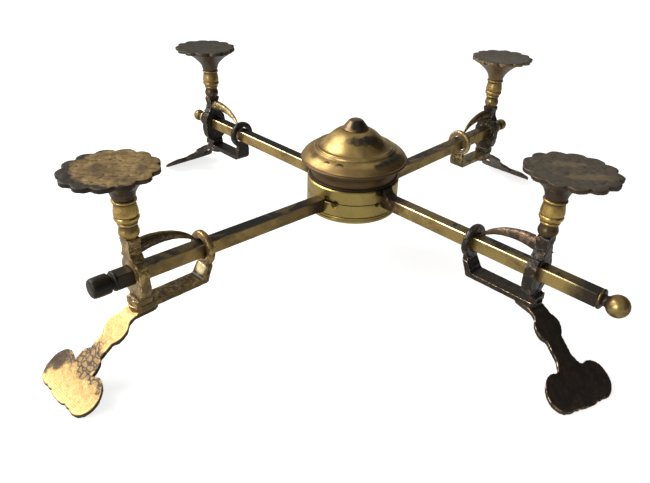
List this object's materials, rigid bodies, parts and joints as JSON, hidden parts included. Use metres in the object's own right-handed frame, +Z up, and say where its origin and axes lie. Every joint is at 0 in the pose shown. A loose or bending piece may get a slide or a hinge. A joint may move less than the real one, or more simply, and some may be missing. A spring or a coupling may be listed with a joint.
{
  "type": "dish cross",
  "caption": "Brass dish cross: a lidded spirit lamp at the hub of folding arms, each arm with a sliding bracket that has a scalloped dish rest and a shell foot.",
  "frame": {"origin": "on the table, under the middle of the lamp", "axes": "+Z up; the arms lie along the four diagonals of X and Y, with the near side at -Y"},
  "size_m": [0.2744, 0.275, 0.095],
  "materials": {
    "gold_brass": "polished, with brown patina in the hollows",
    "collar_brass": "satin olive-gold",
    "dull_brass": "grey-brown tarnish, lightly pitted",
    "dark_brass": "near-black patina with rubbed gold edges",
    "wick_cotton": "woven cotton"
  },
  "bodies": {
    "lower_cross": {"lower_collar": "collar_brass", "near_left_bar": "gold_brass", "far_right_bar": "gold_brass", "near_left_finial": "dark_brass", "far_right_finial": "gold_brass"},
    "upper_cross": {"upper_collar": "collar_brass", "near_right_bar": "gold_brass", "far_left_bar": "gold_brass", "near_right_finial": "gold_brass", "far_left_finial": "gold_brass"},
    "lamp": {"lamp_bowl": "collar_brass", "lamp_base_plate": "dull_brass", "retaining_ring": "dull_brass"},
    "burner": {"burner_plate": "gold_brass", "wick_tube": "gold_brass", "wick": "wick_cotton"},
    "lid_assembly": {"lid": "gold_brass", "lid_seat_ring": "dull_brass", "lid_knob": "dark_brass", "lid_knob_nut": "dull_brass"},
    "near_left_bracket": {"near_left_dish_rest": "gold_brass", "near_left_post": "gold_brass", "near_left_stirrup": "dull_brass", "near_left_horn": "dark_brass", "near_left_strap": "gold_brass", "near_left_guide_ring": "dull_brass", "near_left_foot": "gold_brass", "near_left_foot_rivet": "dull_brass"},
    "far_right_bracket": {"far_right_dish_rest": "dull_brass", "far_right_post": "gold_brass", "far_right_stirrup": "dull_brass", "far_right_horn": "dark_brass", "far_right_strap": "dull_brass", "far_right_guide_ring": "dull_brass", "far_right_foot": "dark_brass", "far_right_foot_rivet": "dull_brass"},
    "near_right_bracket": {"near_right_dish_rest": "dull_brass", "near_right_post": "gold_brass", "near_right_stirrup": "dull_brass", "near_right_horn": "dark_brass", "near_right_strap": "dull_brass", "near_right_guide_ring": "dull_brass", "near_right_foot": "dark_brass", "near_right_foot_rivet": "dull_brass"},
    "far_left_bracket": {"far_left_dish_rest": "dull_brass", "far_left_post": "gold_brass", "far_left_stirrup": "dull_brass", "far_left_horn": "dark_brass", "far_left_strap": "dull_brass", "far_left_guide_ring": "dull_brass", "far_left_foot": "dark_brass", "far_left_foot_rivet": "dull_brass"}
  },
  "joints": [
    {"name": "arms_swing", "type": "hinge", "parent": "lower_cross", "child": "upper_cross", "pos_m": [0, 0, 0.0445], "axis": [0, 0, 1], "range_deg": [-45, 45]},
    {"name": "lamp_turn", "type": "hinge", "parent": "lower_cross", "child": "lamp", "pos_m": [0, 0, 0.0445], "axis": [0, 0, 1], "continuous": true},
    {"name": "burner_lift", "type": "slide", "parent": "lamp", "child": "burner", "axis": [0, 0, 1], "range_m": [0, 0.03]},
    {"name": "lid_lift", "type": "slide", "parent": "burner", "child": "lid_assembly", "axis": [0, 0, 1], "range_m": [0, 0.04]},
    {"name": "near_left_slide", "type": "slide", "parent": "lower_cross", "child": "near_left_bracket", "axis": [-0.7068, -0.7068, 0.0279], "range_m": [-0.067, 0.006]},
    {"name": "far_right_slide", "type": "slide", "parent": "lower_cross", "child": "far_right_bracket", "axis": [0.7068, 0.7068, 0.0279], "range_m": [-0.067, 0.006]},
    {"name": "near_right_slide", "type": "slide", "parent": "upper_cross", "child": "near_right_bracket", "axis": [0.7071, -0.7071, 0], "range_m": [-0.048, 0.025]},
    {"name": "far_left_slide", "type": "slide", "parent": "upper_cross", "child": "far_left_bracket", "axis": [-0.7071, 0.7071, 0], "range_m": [-0.067, 0.006]}
  ]
}
